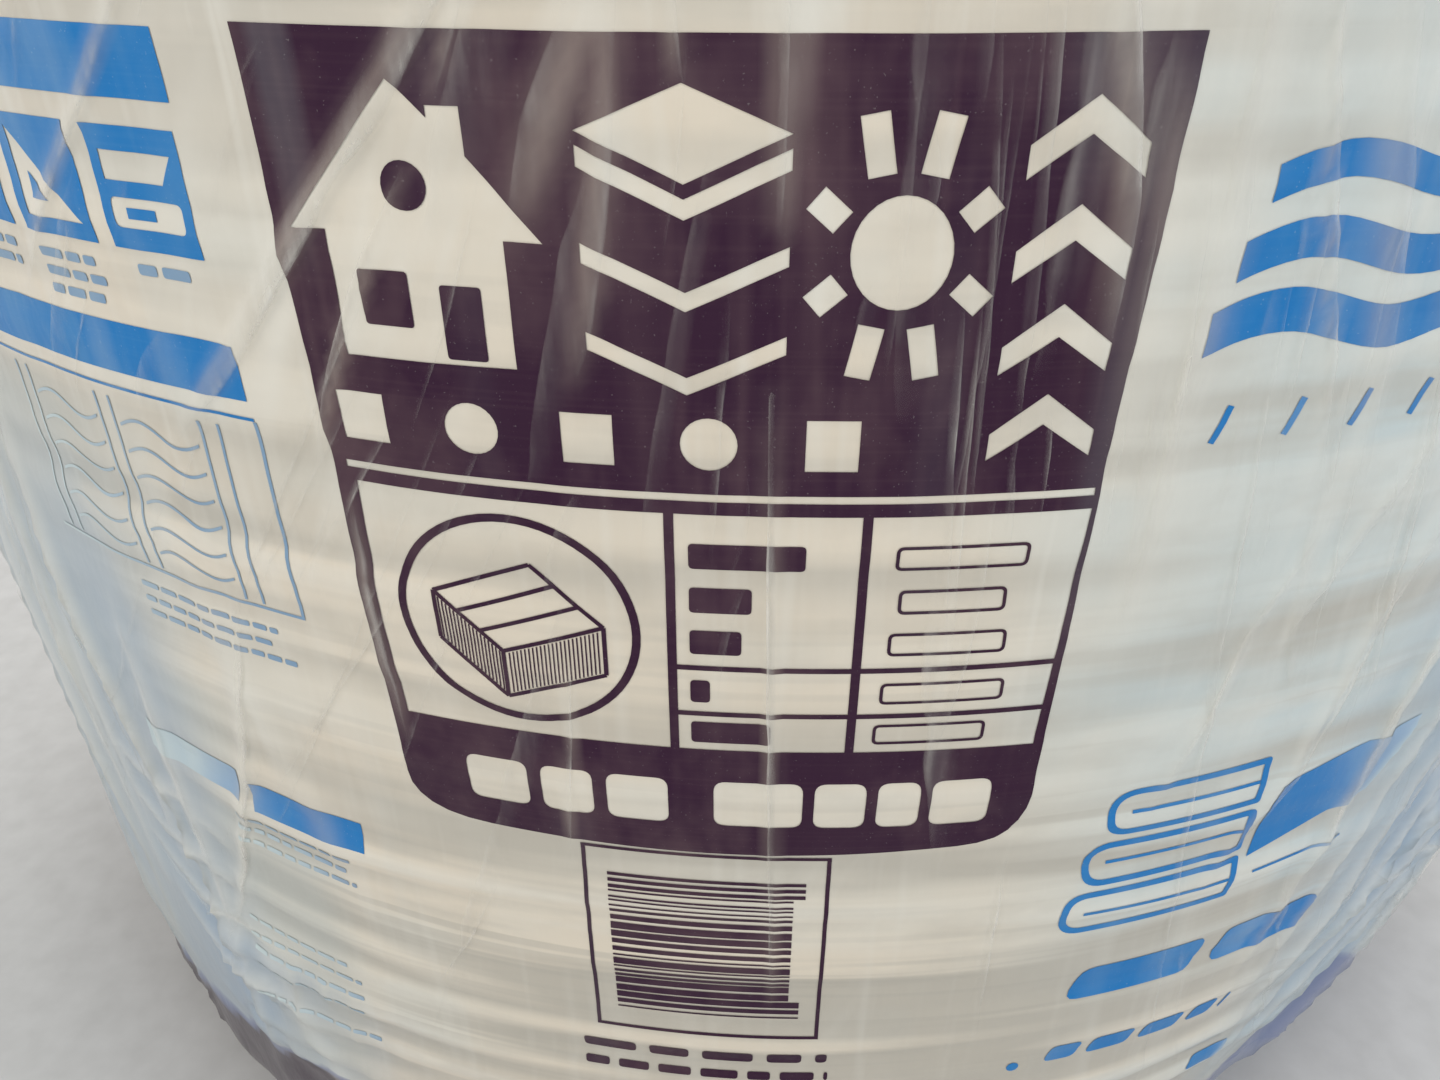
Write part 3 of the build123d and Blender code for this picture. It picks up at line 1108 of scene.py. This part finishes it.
def build_wool():
    """The batt's skin: end, side, end and bore, with its soft corners as the film draws them in."""
    rows, columns = wool_profile(), 400
    angle = np.linspace(0, 2 * math.pi, columns, endpoint=False)
    round_place = (angle + math.pi / 2) * BAG_RADIUS
    high_round = upper_shoulder(round_place) + 3.5
    low_up, low_in = (reach + 4.5 for reach in lower_shoulder(round_place))
    places = np.zeros((len(rows), columns, 3))
    for i, (zone, radius, level) in enumerate(rows):
        r = np.full(columns, float(radius))
        z = np.full(columns, float(level))
        if zone in ("top", "bottom"):
            reach = WOOL_RADIUS - (high_round if zone == "top" else low_in)
            r = EYE_RADIUS + 5 + (reach - EYE_RADIUS - 5) * radius
        elif zone == "upper_round":
            turn = radius * math.pi / 2
            r = WOOL_RADIUS - high_round + high_round * math.sin(turn)
            z = WOOL_HIGH - high_round * (1 - math.cos(turn))
        elif zone == "lower_round":
            turn = radius * math.pi / 2
            r = WOOL_RADIUS - low_in + low_in * math.cos(turn)
            z = WOOL_LOW + low_up * (1 - math.sin(turn))
        x, y = r * np.cos(angle), r * np.sin(angle)
        if zone == "top":
            z = z + np.minimum(end_relief(x, y, r, TOP_SEED), 0.6)
        elif zone == "bottom":
            under_film = smooth_step(r, MOUTH_RADIUS + 3, MOUTH_RADIUS + 9)
            z = z - np.minimum(end_relief(x, y, r, BOTTOM_SEED), 0.3) + 2.0 * under_film
        elif zone == "bore":
            r = r + 1.2 * plane_noise(x * 4, level + y * 4, 6, 151) + 0.8
        elif zone == "side":
            r = r - 0.9 + 0.4 * plane_noise(angle * 40, level + 0 * r, 9, 161)
        if zone in ("side", "lower_round"):
            turn = math.pi / 2 * radius if zone == "lower_round" else 0.0
            r = r - slack_inset(round_place, z) * math.cos(turn)
        places[i] = np.stack([r * np.cos(angle), r * np.sin(angle), z], axis=-1)
    faces = grid_triangles(len(rows), columns, True)
    wool = mesh_object("insulation_roll_wool", places.reshape(-1, 3), faces)
    x, y = places[..., 0], places[..., 1]
    on_end = np.array([zone in ("top", "bottom") for zone, _, _ in rows])[:, None]
    # Painted shade in the winding's clefts on both ends; elsewhere the skin is darkened a little all over
    add_mark(wool, "cleft", np.where(on_end, np.exp(-((cleft_distance(x, y) / 4.0) ** 2)), 0.3))
    return wool


def spiral_line(step):
    """Places along the winding's spiral line, one half circle after another."""
    line, radius, rear = [], EYE_RADIUS, True
    while radius < WOOL_RADIUS - 6:
        turns = np.arange(0, math.pi, step / radius)
        centre = 0.0 if rear else HALF_TURN
        start = 0.0 if rear else math.pi
        line += [(centre + radius * math.cos(start + t), radius * math.sin(start + t)) for t in turns]
        radius, rear = radius + HALF_TURN, not rear
    return np.array(line)


def build_facing():
    """Edge of the brown facing, a thin strip that stands in the clefts of both ends."""
    line = spiral_line(3.0)
    x, y = line.T
    radius = np.hypot(x, y)
    keep = (radius > EYE_RADIUS + 3) & (radius < MOUTH_RADIUS + 14)
    vertices, faces = [], []
    for level, way, seed in ((WOOL_HIGH, 1, 171), (WOOL_LOW, -1, 181)):
        wander = 0.7 * plane_noise(x, y, 14, seed)
        tall = 1.2 + 1.6 * (plane_noise(x, y, 18, seed + 1) + plane_noise(x, y, 5, seed + 2))
        crest = np.minimum(-2.4 + tall, 0.3)
        for inward, height in ((0.0, -9.0), (wander, crest), (wander + 0.5, crest), (0.5, -9.0)):
            scale = 1 - inward / np.maximum(radius, 1)
            z = level + way * np.broadcast_to(height, x.shape)
            vertices.append(np.stack([x * scale, y * scale, z], axis=-1))
        count = len(line)
        first = (len(vertices) - 4) * count
        for s in range(4):
            for k in range(count - 1):
                if keep[k] and keep[k + 1]:
                    a, b = first + s * count + k, first + (s + 1) % 4 * count + k
                    faces.append((a, a + 1, b + 1, b) if way > 0 else (b, b + 1, a + 1, a))
    facing = mesh_object("insulation_roll_facing", np.concatenate(vertices), faces, False)
    drop_loose(facing)
    return facing


def drop_loose(thing):
    """Delete the vertices that no face uses."""
    mesh = thing.data
    used = np.zeros(len(mesh.vertices), dtype=bool)
    corners = np.zeros(len(mesh.loops), dtype=int)
    mesh.loops.foreach_get("vertex_index", corners)
    used[corners] = True
    work = bmesh.new()
    work.from_mesh(mesh)
    work.verts.ensure_lookup_table()
    bmesh.ops.delete(work, geom=[work.verts[k] for k in np.flatnonzero(~used)], context="VERTS")
    work.to_mesh(mesh)
    work.free()


def build_fibres():
    """Loose glass fibres that lie on both open ends, each a fine bent sliver."""
    draw = np.random.default_rng(191)
    vertices, faces = [], []
    for level, way, count, seed in ((WOOL_HIGH, 1, 4200, TOP_SEED), (WOOL_LOW, -1, 2200, BOTTOM_SEED)):
        radius = np.sqrt(draw.uniform((EYE_RADIUS + 6) ** 2, (MOUTH_RADIUS + 8) ** 2, count))
        turn = draw.uniform(0, 2 * math.pi, count)
        for r, t in zip(radius, turn):
            x, y = r * math.cos(t), r * math.sin(t)
            depth = float(end_relief(np.array([x]), np.array([y]), np.array([r]), seed)[0])
            heading = t + math.pi / 2 + draw.normal(0, 0.8)
            length, bend = draw.uniform(4, 13), draw.normal(0, 1.6)
            lift = min(depth, 0.0) + 0.35
            side = np.array([-math.sin(heading), math.cos(heading), 0.0])
            along = np.array([math.cos(heading), math.sin(heading), 0.0])
            start = len(vertices)
            for share in (-0.5, 0.0, 0.5):
                rise = lift + (0.9 - 3.0 * share**2) * draw.uniform(0.2, 0.8)
                centre = np.array([x, y, level + way * min(rise, 0.8)]) + along * share * length
                centre = centre + side * bend * (1 - 4 * share**2)
                width = 0.11 if share == 0 else 0.05
                vertices += [centre - side * width, centre + side * width]
            for k in (0, 2):
                faces.append((start + k, start + k + 1, start + k + 3, start + k + 2))
    return mesh_object("insulation_roll_fibres", vertices, faces, False)


# Materials: colours as red, green, blue and alpha

CREAM = (0.800, 0.710, 0.575, 1)
COOL = (0.600, 0.690, 0.695, 1)
MILKY = (0.440, 0.490, 0.480, 1)
# Grey of loose film, also used as painted shade between its folds
LOOSE_GREY_AND_SHADE = (0.265, 0.380, 0.525, 1)
PALE = (0.850, 0.835, 0.760, 1)
SHADE = (0.480, 0.450, 0.385, 1)
THROUGH = (0.430, 0.390, 0.280, 1)
# Fold colours: pale doubled film and painted highlight
FOLD_SHEEN_DIM = (0.740, 0.710, 0.650, 1)
FOLD_SHEEN_PALE = (0.880, 0.860, 0.800, 1)
DARK_INK = (0.042, 0.016, 0.038, 1)
DARK_HAZE = (0.190, 0.125, 0.130, 1)
DARK_PALE = (0.300, 0.270, 0.270, 1)
BAND_INK = (0.040, 0.024, 0.038, 1)
BAND_HAZE = (0.150, 0.122, 0.150, 1)
BLUE_INK = (0.020, 0.205, 0.540, 1)
BLUE_HAZE = (0.200, 0.390, 0.590, 1)
BLUE_PALE = (0.500, 0.620, 0.700, 1)
FAINT_INK = (0.230, 0.360, 0.520, 1)
FAINT_HAZE = (0.400, 0.480, 0.540, 1)
FRINGE = (0.130, 0.180, 0.420, 1)
GLARE = (0.640, 0.540, 0.450, 1)
WOOL = (0.690, 0.620, 0.430, 1)
WOOL_DIM = (0.580, 0.500, 0.320, 1)
# Painted shade for the wool's clefts
WOOL_CLEFT_SHADE = (0.300, 0.240, 0.140, 1)
FIBRE_DIM = (0.720, 0.660, 0.480, 1)
FIBRE_PALE = (0.860, 0.820, 0.680, 1)
KRAFT = (0.330, 0.200, 0.100, 1)
KRAFT_LIGHT = (0.480, 0.330, 0.190, 1)
FLOOR_DIM = (0.600, 0.590, 0.570, 1)
FLOOR_PALE = (0.660, 0.650, 0.630, 1)
WHITE = (1, 1, 1, 1)


def new_material(name):
    """A new material, with its nodes and its shader."""
    material = bpy.data.materials.new(name)
    material.use_nodes = True
    tree = material.node_tree
    return material, tree, tree.nodes["Principled BSDF"]


def node(tree, kind, **inputs):
    """A new node with these values on its inputs."""
    made = tree.nodes.new(kind)
    for key, value in inputs.items():
        made.inputs[key.replace("_", " ")].default_value = value
    return made


def object_place(tree, scale, lean=0.0):
    """Object coordinates, leant over about the front's own axis, then stretched by this scale."""
    where = tree.nodes.new("ShaderNodeTexCoord").outputs["Object"]
    if lean:
        leant = node(tree, "ShaderNodeMapping", Rotation=(0, lean, 0))
        tree.links.new(where, leant.inputs["Vector"])
        where = leant.outputs["Vector"]
    mapping = node(tree, "ShaderNodeMapping", Scale=scale)
    tree.links.new(where, mapping.inputs["Vector"])
    return mapping.outputs["Vector"]


def object_axes(tree):
    """Object coordinates one by one, in metres."""
    where = tree.nodes.new("ShaderNodeTexCoord")
    parts = tree.nodes.new("ShaderNodeSeparateXYZ")
    tree.links.new(where.outputs["Object"], parts.inputs["Vector"])
    return parts.outputs


def spread(tree, value, low, high):
    """The value as 0 at low and 1 at high."""
    made = node(tree, "ShaderNodeMapRange", From_Min=low, From_Max=high)
    tree.links.new(value, made.inputs["Value"])
    return made.outputs["Result"]


def noise_at(tree, where, detail, rough, low, high):
    """Noise at these places, one feature to a unit, as 0 at its low level and 1 at its high one."""
    noise = node(tree, "ShaderNodeTexNoise", Scale=1.0, Detail=detail, Roughness=rough)
    tree.links.new(where, noise.inputs["Vector"])
    return spread(tree, noise.outputs["Fac"], low, high)


def noise_factor(tree, scale, detail=2.0, low=0.35, high=0.65, rough=0.5, lean=0.0):
    """Noise with this many features to a metre along each axis."""
    return noise_at(tree, object_place(tree, scale, lean), detail, rough, low, high)


def mark_factor(tree, name):
    """A mark that the mesh stores at its vertices."""
    reader = tree.nodes.new("ShaderNodeAttribute")
    reader.attribute_name = name
    return reader.outputs["Fac"]


def maths(tree, operation, a, b=0.0, clamp=True):
    """One step of arithmetic on values or numbers."""
    made = tree.nodes.new("ShaderNodeMath")
    made.operation = operation
    made.use_clamp = clamp
    for socket, value in zip(made.inputs, (a, b)):
        if isinstance(value, (int, float)):
            socket.default_value = value
        else:
            tree.links.new(value, socket)
    return made.outputs[0]


def times(tree, a, b, clamp=True):
    return maths(tree, "MULTIPLY", a, b, clamp)


def mix_colour(tree, factor, a, b):
    """The first colour where the factor is 0, the second where it is 1."""
    made = tree.nodes.new("ShaderNodeMix")
    made.data_type = "RGBA"
    for key, value in (("Factor", factor), ("A", a), ("B", b)):
        socket = [s for s in made.inputs if s.name == key and s.enabled][0]
        if isinstance(value, (int, float, tuple)):
            socket.default_value = value
        else:
            tree.links.new(value, socket)
    return [s for s in made.outputs if s.enabled][0]


def tint(tree, colour, factor, strength, over):
    """A colour with another laid over it, as strong as this where the factor is 1."""
    return mix_colour(tree, times(tree, factor, strength), colour, over)


def finish(tree, shader, colour, roughness):
    """Give a shader its colour and its roughness."""
    tree.links.new(colour, shader.inputs["Base Color"])
    shader.inputs["Roughness"].default_value = roughness


def fine_bump(tree, shader, factor, strength, distance):
    """Relief that is only shaded; its depth is in metres."""
    relief = node(tree, "ShaderNodeBump", Strength=strength, Distance=distance)
    tree.links.new(factor, relief.inputs["Height"])
    tree.links.new(relief.outputs["Normal"], shader.inputs["Normal"])


def mix_shaders(tree, factor, a, b, output):
    """Show the first shader where the factor is 0 and the second where it is 1."""
    mix = tree.nodes.new("ShaderNodeMixShader")
    for socket, value in zip(mix.inputs, (factor, a, b)):
        tree.links.new(value, socket)
    tree.links.new(mix.outputs["Shader"], output.inputs["Surface"])


def height_factor(tree, low, high):
    """0 below one height on the object and 1 above the other, in metres."""
    return spread(tree, object_axes(tree)["Z"], low, high)


def brushed(tree, scale, lean, low, high, detail=3.0):
    """Soft-edged streaks of very uneven width, in patches."""
    streaks = noise_factor(tree, scale, detail, low, high, 0.6, lean)
    patches = noise_factor(tree, tuple(0.3 * s for s in scale), 0.0, 0.42, 0.60, 0.5, lean)
    return times(tree, streaks, patches)


def milk_and_sheen_streaks(tree):
    """Streaks where the film is drawn tight, mostly in its upper half, from 0 to 1: partly the film's
    milkiness and partly painted sheen.
    """
    upright = brushed(tree, (85, 85, 7), 0.04, 0.50, 0.74)
    leaning = brushed(tree, (70, 70, 9), -0.42, 0.52, 0.74)
    fine = brushed(tree, (330, 330, 16), 0.0, 0.50, 0.78, 1.0)
    high = maths(tree, "ADD", times(tree, height_factor(tree, 0.19, 0.29), 0.7), 0.3)
    veil_and_sheen = maths(tree, "MAXIMUM", upright, leaning)
    veil_and_sheen = maths(tree, "MAXIMUM", veil_and_sheen, times(tree, fine, 0.7))
    return times(tree, veil_and_sheen, high)


def end_wrinkles(tree, low, high, detail=4.0):
    """Wrinkles that run round the corners and in towards the middle of the ends, from 0 to 1."""
    parts = object_axes(tree)
    turn = maths(tree, "ARCTAN2", parts["Y"], parts["X"], False)
    place = tree.nodes.new("ShaderNodeCombineXYZ")
    for part, scale, axis in ((turn, 34.0, "X"), (parts["X"], 9.0, "Y"), (parts["Y"], 9.0, "Z")):
        tree.links.new(times(tree, part, scale, False), place.inputs[axis])
    noise = noise_at(tree, place.outputs["Vector"], detail, 0.55, low, high)
    return times(tree, noise, spread(tree, mark_factor(tree, "gather"), 0.25, 0.75))


def film_colour(tree):
    """Milky film over wool: warm where it lies close, cool and grey where it stands off; painted shade in its
    ripples and between loose folds, and painted highlights on ripple crests, creases and tight streaks.
    """
    stand_off = times(tree, mark_factor(tree, "stand_off"), 0.7)
    colour = mix_colour(tree, maths(tree, "MAXIMUM", stand_off, mark_factor(tree, "cool")), CREAM, COOL)
    ripple = mark_factor(tree, "ripple")
    # Painted shade in the ripples' hollows and a painted highlight on their crests
    colour = tint(tree, colour, spread(tree, ripple, 0.48, 0.80), 0.80, SHADE)
    colour = tint(tree, colour, spread(tree, ripple, 0.44, 0.15), 0.40, PALE)
    # Darker blotches at random
    dark_blotches = noise_factor(tree, (38, 38, 90), 3.0, 0.50, 0.75, 0.6)
    colour = tint(tree, colour, dark_blotches, 0.30, SHADE)
    # Painted shade of fine level ripples, strongest low down
    low = maths(tree, "SUBTRACT", 1.0, times(tree, height_factor(tree, 0.13, 0.24), 0.75))
    fine_ripple_shade = times(tree, brushed(tree, (9, 9, 390), 0.0, 0.47, 0.60, 1.0), low)
    colour = tint(tree, colour, fine_ripple_shade, 0.5, SHADE)
    # Pale streaks: the film's milkiness and painted sheen
    colour = tint(tree, colour, milk_and_sheen_streaks(tree), 0.75, PALE)
    colour = tint(tree, colour, mark_factor(tree, "milk"), 0.60, MILKY)
    # Grey of the loose film, with painted shade in the hollows between its folds
    colour = tint(tree, colour, mark_factor(tree, "loose"), 0.90, LOOSE_GREY_AND_SHADE)
    colour = tint(tree, colour, spread(tree, mark_factor(tree, "gather"), 0.4, 0.7), 0.45, LOOSE_GREY_AND_SHADE)
    colour = tint(tree, colour, end_wrinkles(tree, 0.56, 0.40), 0.45, THROUGH)
    colour = tint(tree, colour, end_wrinkles(tree, 0.54, 0.70), 0.80, PALE)
    # Creases: pale where the film is folded over, with painted highlights along them
    return tint(tree, colour, mark_factor(tree, "crease"), 0.45, PALE)


def dulled(tree, ink, haze, amount):
    """Ink on the film, dulled by clouds and by streaks of milk and painted sheen, and crossed by creases that
    are pale where film folds over it, with painted highlights.
    """
    cloud = noise_factor(tree, (34, 34, 26), 4.0, 0.47, 0.78, 0.68)
    colour = tint(tree, ink, cloud, 0.46 * amount, haze)
    # Streaks of milk and painted sheen over the ink
    colour = tint(tree, colour, milk_and_sheen_streaks(tree), 0.42 * amount, haze)
    # Creases over the ink: pale folded film with painted highlights
    return tint(tree, colour, mark_factor(tree, "crease"), 0.45, GLARE)


def inked(tree, ink, haze, pale, amount):
    """Ink of the small print, which also shows fine level lines and specks."""
    colour = dulled(tree, ink, haze, amount)
    colour = tint(tree, colour, noise_factor(tree, (5, 5, 1300), 1.0, 0.50, 0.80), 0.06, haze)
    return tint(tree, colour, noise_factor(tree, (2600, 2600, 2400), 1.0, 0.72, 0.80), 0.35, pale)


def finish_film(tree, shader, colour, gloss, wrinkles=0.0):
    finish(tree, shader, colour, 0.30)
    shader.inputs["Specular IOR Level"].default_value = gloss
    relief = noise_factor(tree, (240, 240, 110), 2.0, 0.2, 0.8)
    if wrinkles:
        gathered = times(tree, end_wrinkles(tree, 0.30, 0.70, 2.0), wrinkles, False)
        relief = maths(tree, "ADD", relief, gathered, False)
    fine_bump(tree, shader, relief, 0.3, 0.0005)


def film_material():
    material, tree, shader = new_material("milky_film")
    band = mark_factor(tree, "band")
    rim = times(tree, times(tree, band, maths(tree, "SUBTRACT", 1.0, band)), 4.0)
    colour = mix_colour(tree, band, film_colour(tree), dulled(tree, BAND_INK, BAND_HAZE, 0.7))
    finish_film(tree, shader, tint(tree, colour, rim, 0.5, FRINGE), 0.5, 14.0)
    shader.inputs["Coat Weight"].default_value = 0.25
    shader.inputs["Coat Roughness"].default_value = 0.10
    return material


def fold_material():
    material, tree, shader = new_material("folded_film_and_sheen")
    # Pale doubled film, partly a painted highlight along each fold
    streaks = noise_factor(tree, (200, 200, 40), 2.0, 0.35, 0.65)
    finish(tree, shader, mix_colour(tree, streaks, FOLD_SHEEN_DIM, FOLD_SHEEN_PALE), 0.25)
    grain = noise_factor(tree, (500, 500, 40), 3.0, 0.35, 0.70)
    grain = maths(tree, "ADD", times(tree, grain, 0.65), 0.35)
    tree.links.new(times(tree, mark_factor(tree, "veil_and_sheen"), grain), shader.inputs["Alpha"])
    return material


def ink_material(name, ink, haze, pale, amount):
    material, tree, shader = new_material(name)
    colour = inked(tree, ink, haze, pale, amount)
    finish_film(tree, shader, mix_colour(tree, mark_factor(tree, "milk"), colour, COOL), 0.08)
    return material


def wool_material():
    material, tree, shader = new_material("glass_wool")
    tufts = noise_factor(tree, (160, 160, 160), 4.0, 0.3, 0.7, 0.7)
    colour = mix_colour(tree, tufts, WOOL_DIM, WOOL)
    # Painted shade in the clefts
    finish(tree, shader, tint(tree, colour, mark_factor(tree, "cleft"), 0.85, WOOL_CLEFT_SHADE), 0.95)
    shader.inputs["Sheen Weight"].default_value = 0.25
    fibre = noise_factor(tree, (900, 900, 300), 3.0, 0.3, 0.7, 0.7)
    fine_bump(tree, shader, fibre, 0.9, 0.0012)
    return material


def fibre_material():
    material, tree, shader = new_material("glass_fibre")
    shade = noise_factor(tree, (60, 60, 60), 1.0, 0.3, 0.7)
    finish(tree, shader, mix_colour(tree, shade, FIBRE_DIM, FIBRE_PALE), 0.6)
    return material


def kraft_material():
    material, tree, shader = new_material("kraft_paper")
    grain = noise_factor(tree, (300, 300, 90), 3.0, 0.3, 0.7, 0.6)
    finish(tree, shader, mix_colour(tree, grain, KRAFT, KRAFT_LIGHT), 0.85)
    fine_bump(tree, shader, grain, 0.4, 0.0004)
    return material


# Camera, as the photograph was taken: its place as shares of the bag's radius, its aim in degrees

CAMERA_LENS = 26.56
CAMERA_BACK = 1.552
CAMERA_UP = 1.30
AIM_DOWN = 31.33
AIM_LEFT = 2.71


def build_camera():
    data = bpy.data.cameras.new("camera")
    data.sensor_width = 36.0
    data.lens = CAMERA_LENS
    data.clip_start = 0.01
    camera = bpy.data.objects.new("camera", data)
    bpy.context.scene.collection.objects.link(camera)
    camera.location = (0, -CAMERA_BACK * BAG_RADIUS * MM, CAMERA_UP * BAG_RADIUS * MM)
    camera.rotation_euler = (math.radians(90 - AIM_DOWN), 0, math.radians(AIM_LEFT))
    bpy.context.scene.camera = camera


# Floor, background and lights

def build_stage():
    """A pale floor that fades into the white background."""
    material, tree, shader = new_material("pale_floor")
    grain = noise_factor(tree, (90, 90, 90), 3.0, 0.3, 0.7)
    finish(tree, shader, mix_colour(tree, grain, FLOOR_DIM, FLOOR_PALE), 0.8)
    where = tree.nodes.new("ShaderNodeTexCoord")
    reach = tree.nodes.new("ShaderNodeVectorMath")
    reach.operation = "LENGTH"
    tree.links.new(where.outputs["Object"], reach.inputs[0])
    glow = node(tree, "ShaderNodeEmission", Color=WHITE, Strength=1.0)
    far = spread(tree, reach.outputs["Value"], 0.9, 2.7)
    mix_shaders(tree, far, shader.outputs["BSDF"], glow.outputs["Emission"], tree.nodes["Material Output"])
    half_floor = 6000.0
    corners = [(x, y, 0) for x, y in box(-half_floor, half_floor, -half_floor, half_floor)]
    floor = mesh_object("floor", corners, [(0, 1, 2, 3)])
    floor.data.materials.append(material)


def build_world():
    """White where it is seen, mirrored or looked through to, and a softer cool light elsewhere."""
    world = bpy.data.worlds.new("studio")
    bpy.context.scene.world = world
    world.use_nodes = True
    tree = world.node_tree
    tree.nodes.clear()
    soft = node(tree, "ShaderNodeBackground", Color=(0.90, 0.94, 1.0, 1), Strength=0.5)
    white = node(tree, "ShaderNodeBackground", Color=WHITE, Strength=1.0)
    path = tree.nodes.new("ShaderNodeLightPath")
    seen = maths(tree, "MAXIMUM", path.outputs["Is Camera Ray"], path.outputs["Is Glossy Ray"])
    seen = maths(tree, "MAXIMUM", seen, path.outputs["Is Transmission Ray"])
    output = tree.nodes.new("ShaderNodeOutputWorld")
    mix_shaders(tree, seen, soft.outputs["Background"], white.outputs["Background"], output)


def area_light(name, place, size, power, colour):
    """A soft light that faces the middle of the object."""
    data = bpy.data.lights.new(name, "AREA")
    data.shape = "RECTANGLE"
    data.size, data.size_y = size
    data.energy = power
    data.color = colour
    light = bpy.data.objects.new(name, data)
    bpy.context.scene.collection.objects.link(light)
    light.location = place
    towards = Vector((0, 0, 0.2)) - Vector(place)
    light.rotation_euler = towards.to_track_quat("-Z", "Y").to_euler()


def build_lights():
    area_light("key", (-0.9, -1.5, 1.5), (1.2, 0.9), 15.5, (1.0, 0.95, 0.86))
    area_light("fill", (1.5, -1.0, 1.0), (1.0, 1.0), 6.5, (0.86, 0.93, 1.0))
    area_light("top", (0.2, 0.3, 1.9), (1.4, 1.4), 12, (1.0, 1.0, 1.0))
    area_light("rear", (0.2, 1.8, 1.2), (1.4, 1.0), 12, (0.95, 0.97, 1.0))


def dress(thing, material):
    """Give a piece its material and its body."""
    thing.data.materials.append(material)
    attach(thing, "root")
    return thing


bpy.context.scene.view_settings.view_transform = "Standard"
build_camera()
build_world()
build_lights()
build_stage()

wool = dress(build_wool(), wool_material())
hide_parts("insulation_roll")
dress(build_facing(), kraft_material())
dress(build_fibres(), fibre_material())

film = dress(build_film(), film_material())
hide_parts("film_bag")
folds = dress(build_folds(), fold_material())

dark = ink_material("dark_ink", DARK_INK, DARK_HAZE, DARK_PALE, 0.9)
blue = ink_material("blue_ink", BLUE_INK, BLUE_HAZE, BLUE_PALE, 0.8)
faint = ink_material("faint_ink", FAINT_INK, FAINT_HAZE, BLUE_PALE, 0.8)
inks = [("panel", panel_print(), dark), ("stripes", stripe_code(), dark),
        ("blue", left_print() + right_print(), blue), ("faint", faint_print(), faint)]
for side, shift in (("front", 0.0), ("back", HALF_ROUND)):
    for kind, shapes, ink in inks:
        dress(build_print(f"film_bag_{kind}_{side}", shapes, shift), ink)
